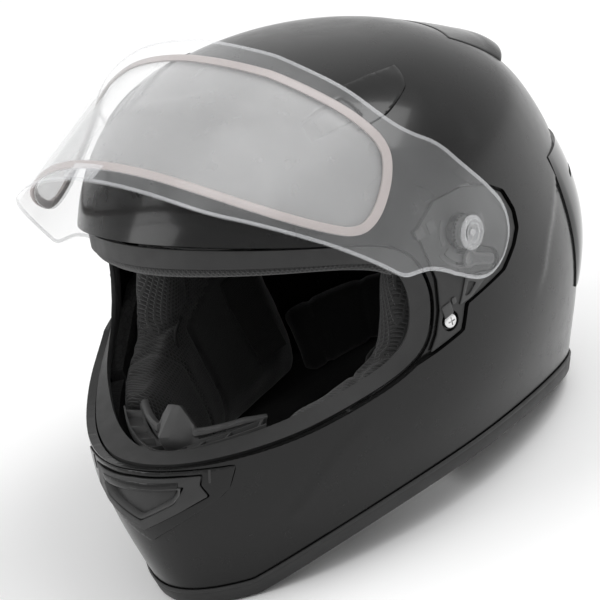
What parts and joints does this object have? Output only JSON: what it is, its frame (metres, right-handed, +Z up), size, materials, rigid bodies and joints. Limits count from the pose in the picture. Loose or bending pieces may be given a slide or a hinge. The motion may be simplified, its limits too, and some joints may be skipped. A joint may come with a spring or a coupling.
{
  "type": "full-face motorcycle helmet",
  "caption": "Full-face motorcycle helmet with a clear shield swung up, chin and crown vents, padded lining and rubber edge trim.",
  "frame": {"origin": "under the middle of the helmet with its shield up, on the surface that chin and nape stand on", "axes": "+Z up, -Y to the front of the helmet, +X to the wearer's left"},
  "size_m": [0.2604, 0.3487, 0.2804],
  "materials": {
    "shell_gloss": "satin gloss black paint",
    "trim_matte": "fine textured black plastic",
    "rubber_black": "matte black rubber",
    "foam_grey": "beaded foam",
    "cloth_black": "spacer mesh and brushed lining",
    "clear_plastic": "clear polycarbonate",
    "silicone_bead": "soft translucent silicone",
    "steel_bright": "bright steel"
  },
  "bodies": {
    "helmet": {"outer_shell": "shell_gloss", "base_trim": "rubber_black", "eyeport_gasket": "rubber_black", "eps_crown_liner": "foam_grey", "crown_pad": "cloth_black", "eps_chin_liner": "foam_grey", "eps_cheek_left": "foam_grey", "eps_cheek_right": "foam_grey", "cheek_pad_left": "cloth_black", "cheek_pad_right": "cloth_black", "neck_roll": "cloth_black", "chin_vent_frame": "trim_matte", "chin_vent_cover": "trim_matte", "chin_vent_grille": "trim_matte", "chin_air_grille": "trim_matte", "breath_deflector": "rubber_black", "crown_vent_left": "trim_matte", "crown_vent_right": "trim_matte", "rear_spoiler": "trim_matte", "rear_spoiler_inlay": "shell_gloss", "rear_exhaust_left": "shell_gloss", "rear_exhaust_right": "shell_gloss", "side_plate_left": "trim_matte", "side_plate_right": "trim_matte", "plate_screw_left": "steel_bright", "plate_screw_right": "steel_bright", "shield_gear_left": "trim_matte", "shield_gear_right": "trim_matte", "pivot_hub_left": "clear_plastic", "pivot_hub_right": "clear_plastic", "strap_left": "cloth_black", "strap_right": "cloth_black"},
    "shield": {"face_shield": "clear_plastic", "inner_lens": "clear_plastic", "lens_seal": "silicone_bead", "shield_tab": "clear_plastic"},
    "chin_shutter": {"chin_vent_shutter": "shell_gloss"},
    "vent_slider_left": {"crown_slider_left": "shell_gloss"},
    "vent_slider_right": {"crown_slider_right": "shell_gloss"},
    "lever_left": {"release_lever_left": "trim_matte"},
    "lever_right": {"release_lever_right": "trim_matte"}
  },
  "joints": [
    {"name": "shield_hinge", "type": "hinge", "parent": "helmet", "child": "shield", "pos_m": [0, -0.0021, 0.158], "axis": [1, 0, 0], "range_deg": [0, 54]},
    {"name": "chin_shutter_slide", "type": "slide", "parent": "helmet", "child": "chin_shutter", "axis": [0, -0.1485, -0.9889], "range_m": [0, 0.0032]},
    {"name": "vent_slide_left", "type": "slide", "parent": "helmet", "child": "vent_slider_left", "axis": [-0.4, -0.9165, 0], "range_m": [0, 0.005]},
    {"name": "vent_slide_right", "type": "slide", "parent": "helmet", "child": "vent_slider_right", "axis": [0.4, -0.9165, 0], "range_m": [0, 0.005]},
    {"name": "lever_left_hinge", "type": "hinge", "parent": "helmet", "child": "lever_left", "pos_m": [0.1238, 0.0139, 0.1335], "axis": [1, 0, 0], "range_deg": [0, 8], "stiffness_Nm_per_rad": 0.05},
    {"name": "lever_right_hinge", "type": "hinge", "parent": "helmet", "child": "lever_right", "pos_m": [-0.1238, 0.0139, 0.1335], "axis": [1, 0, 0], "range_deg": [0, 8], "stiffness_Nm_per_rad": 0.05}
  ]
}
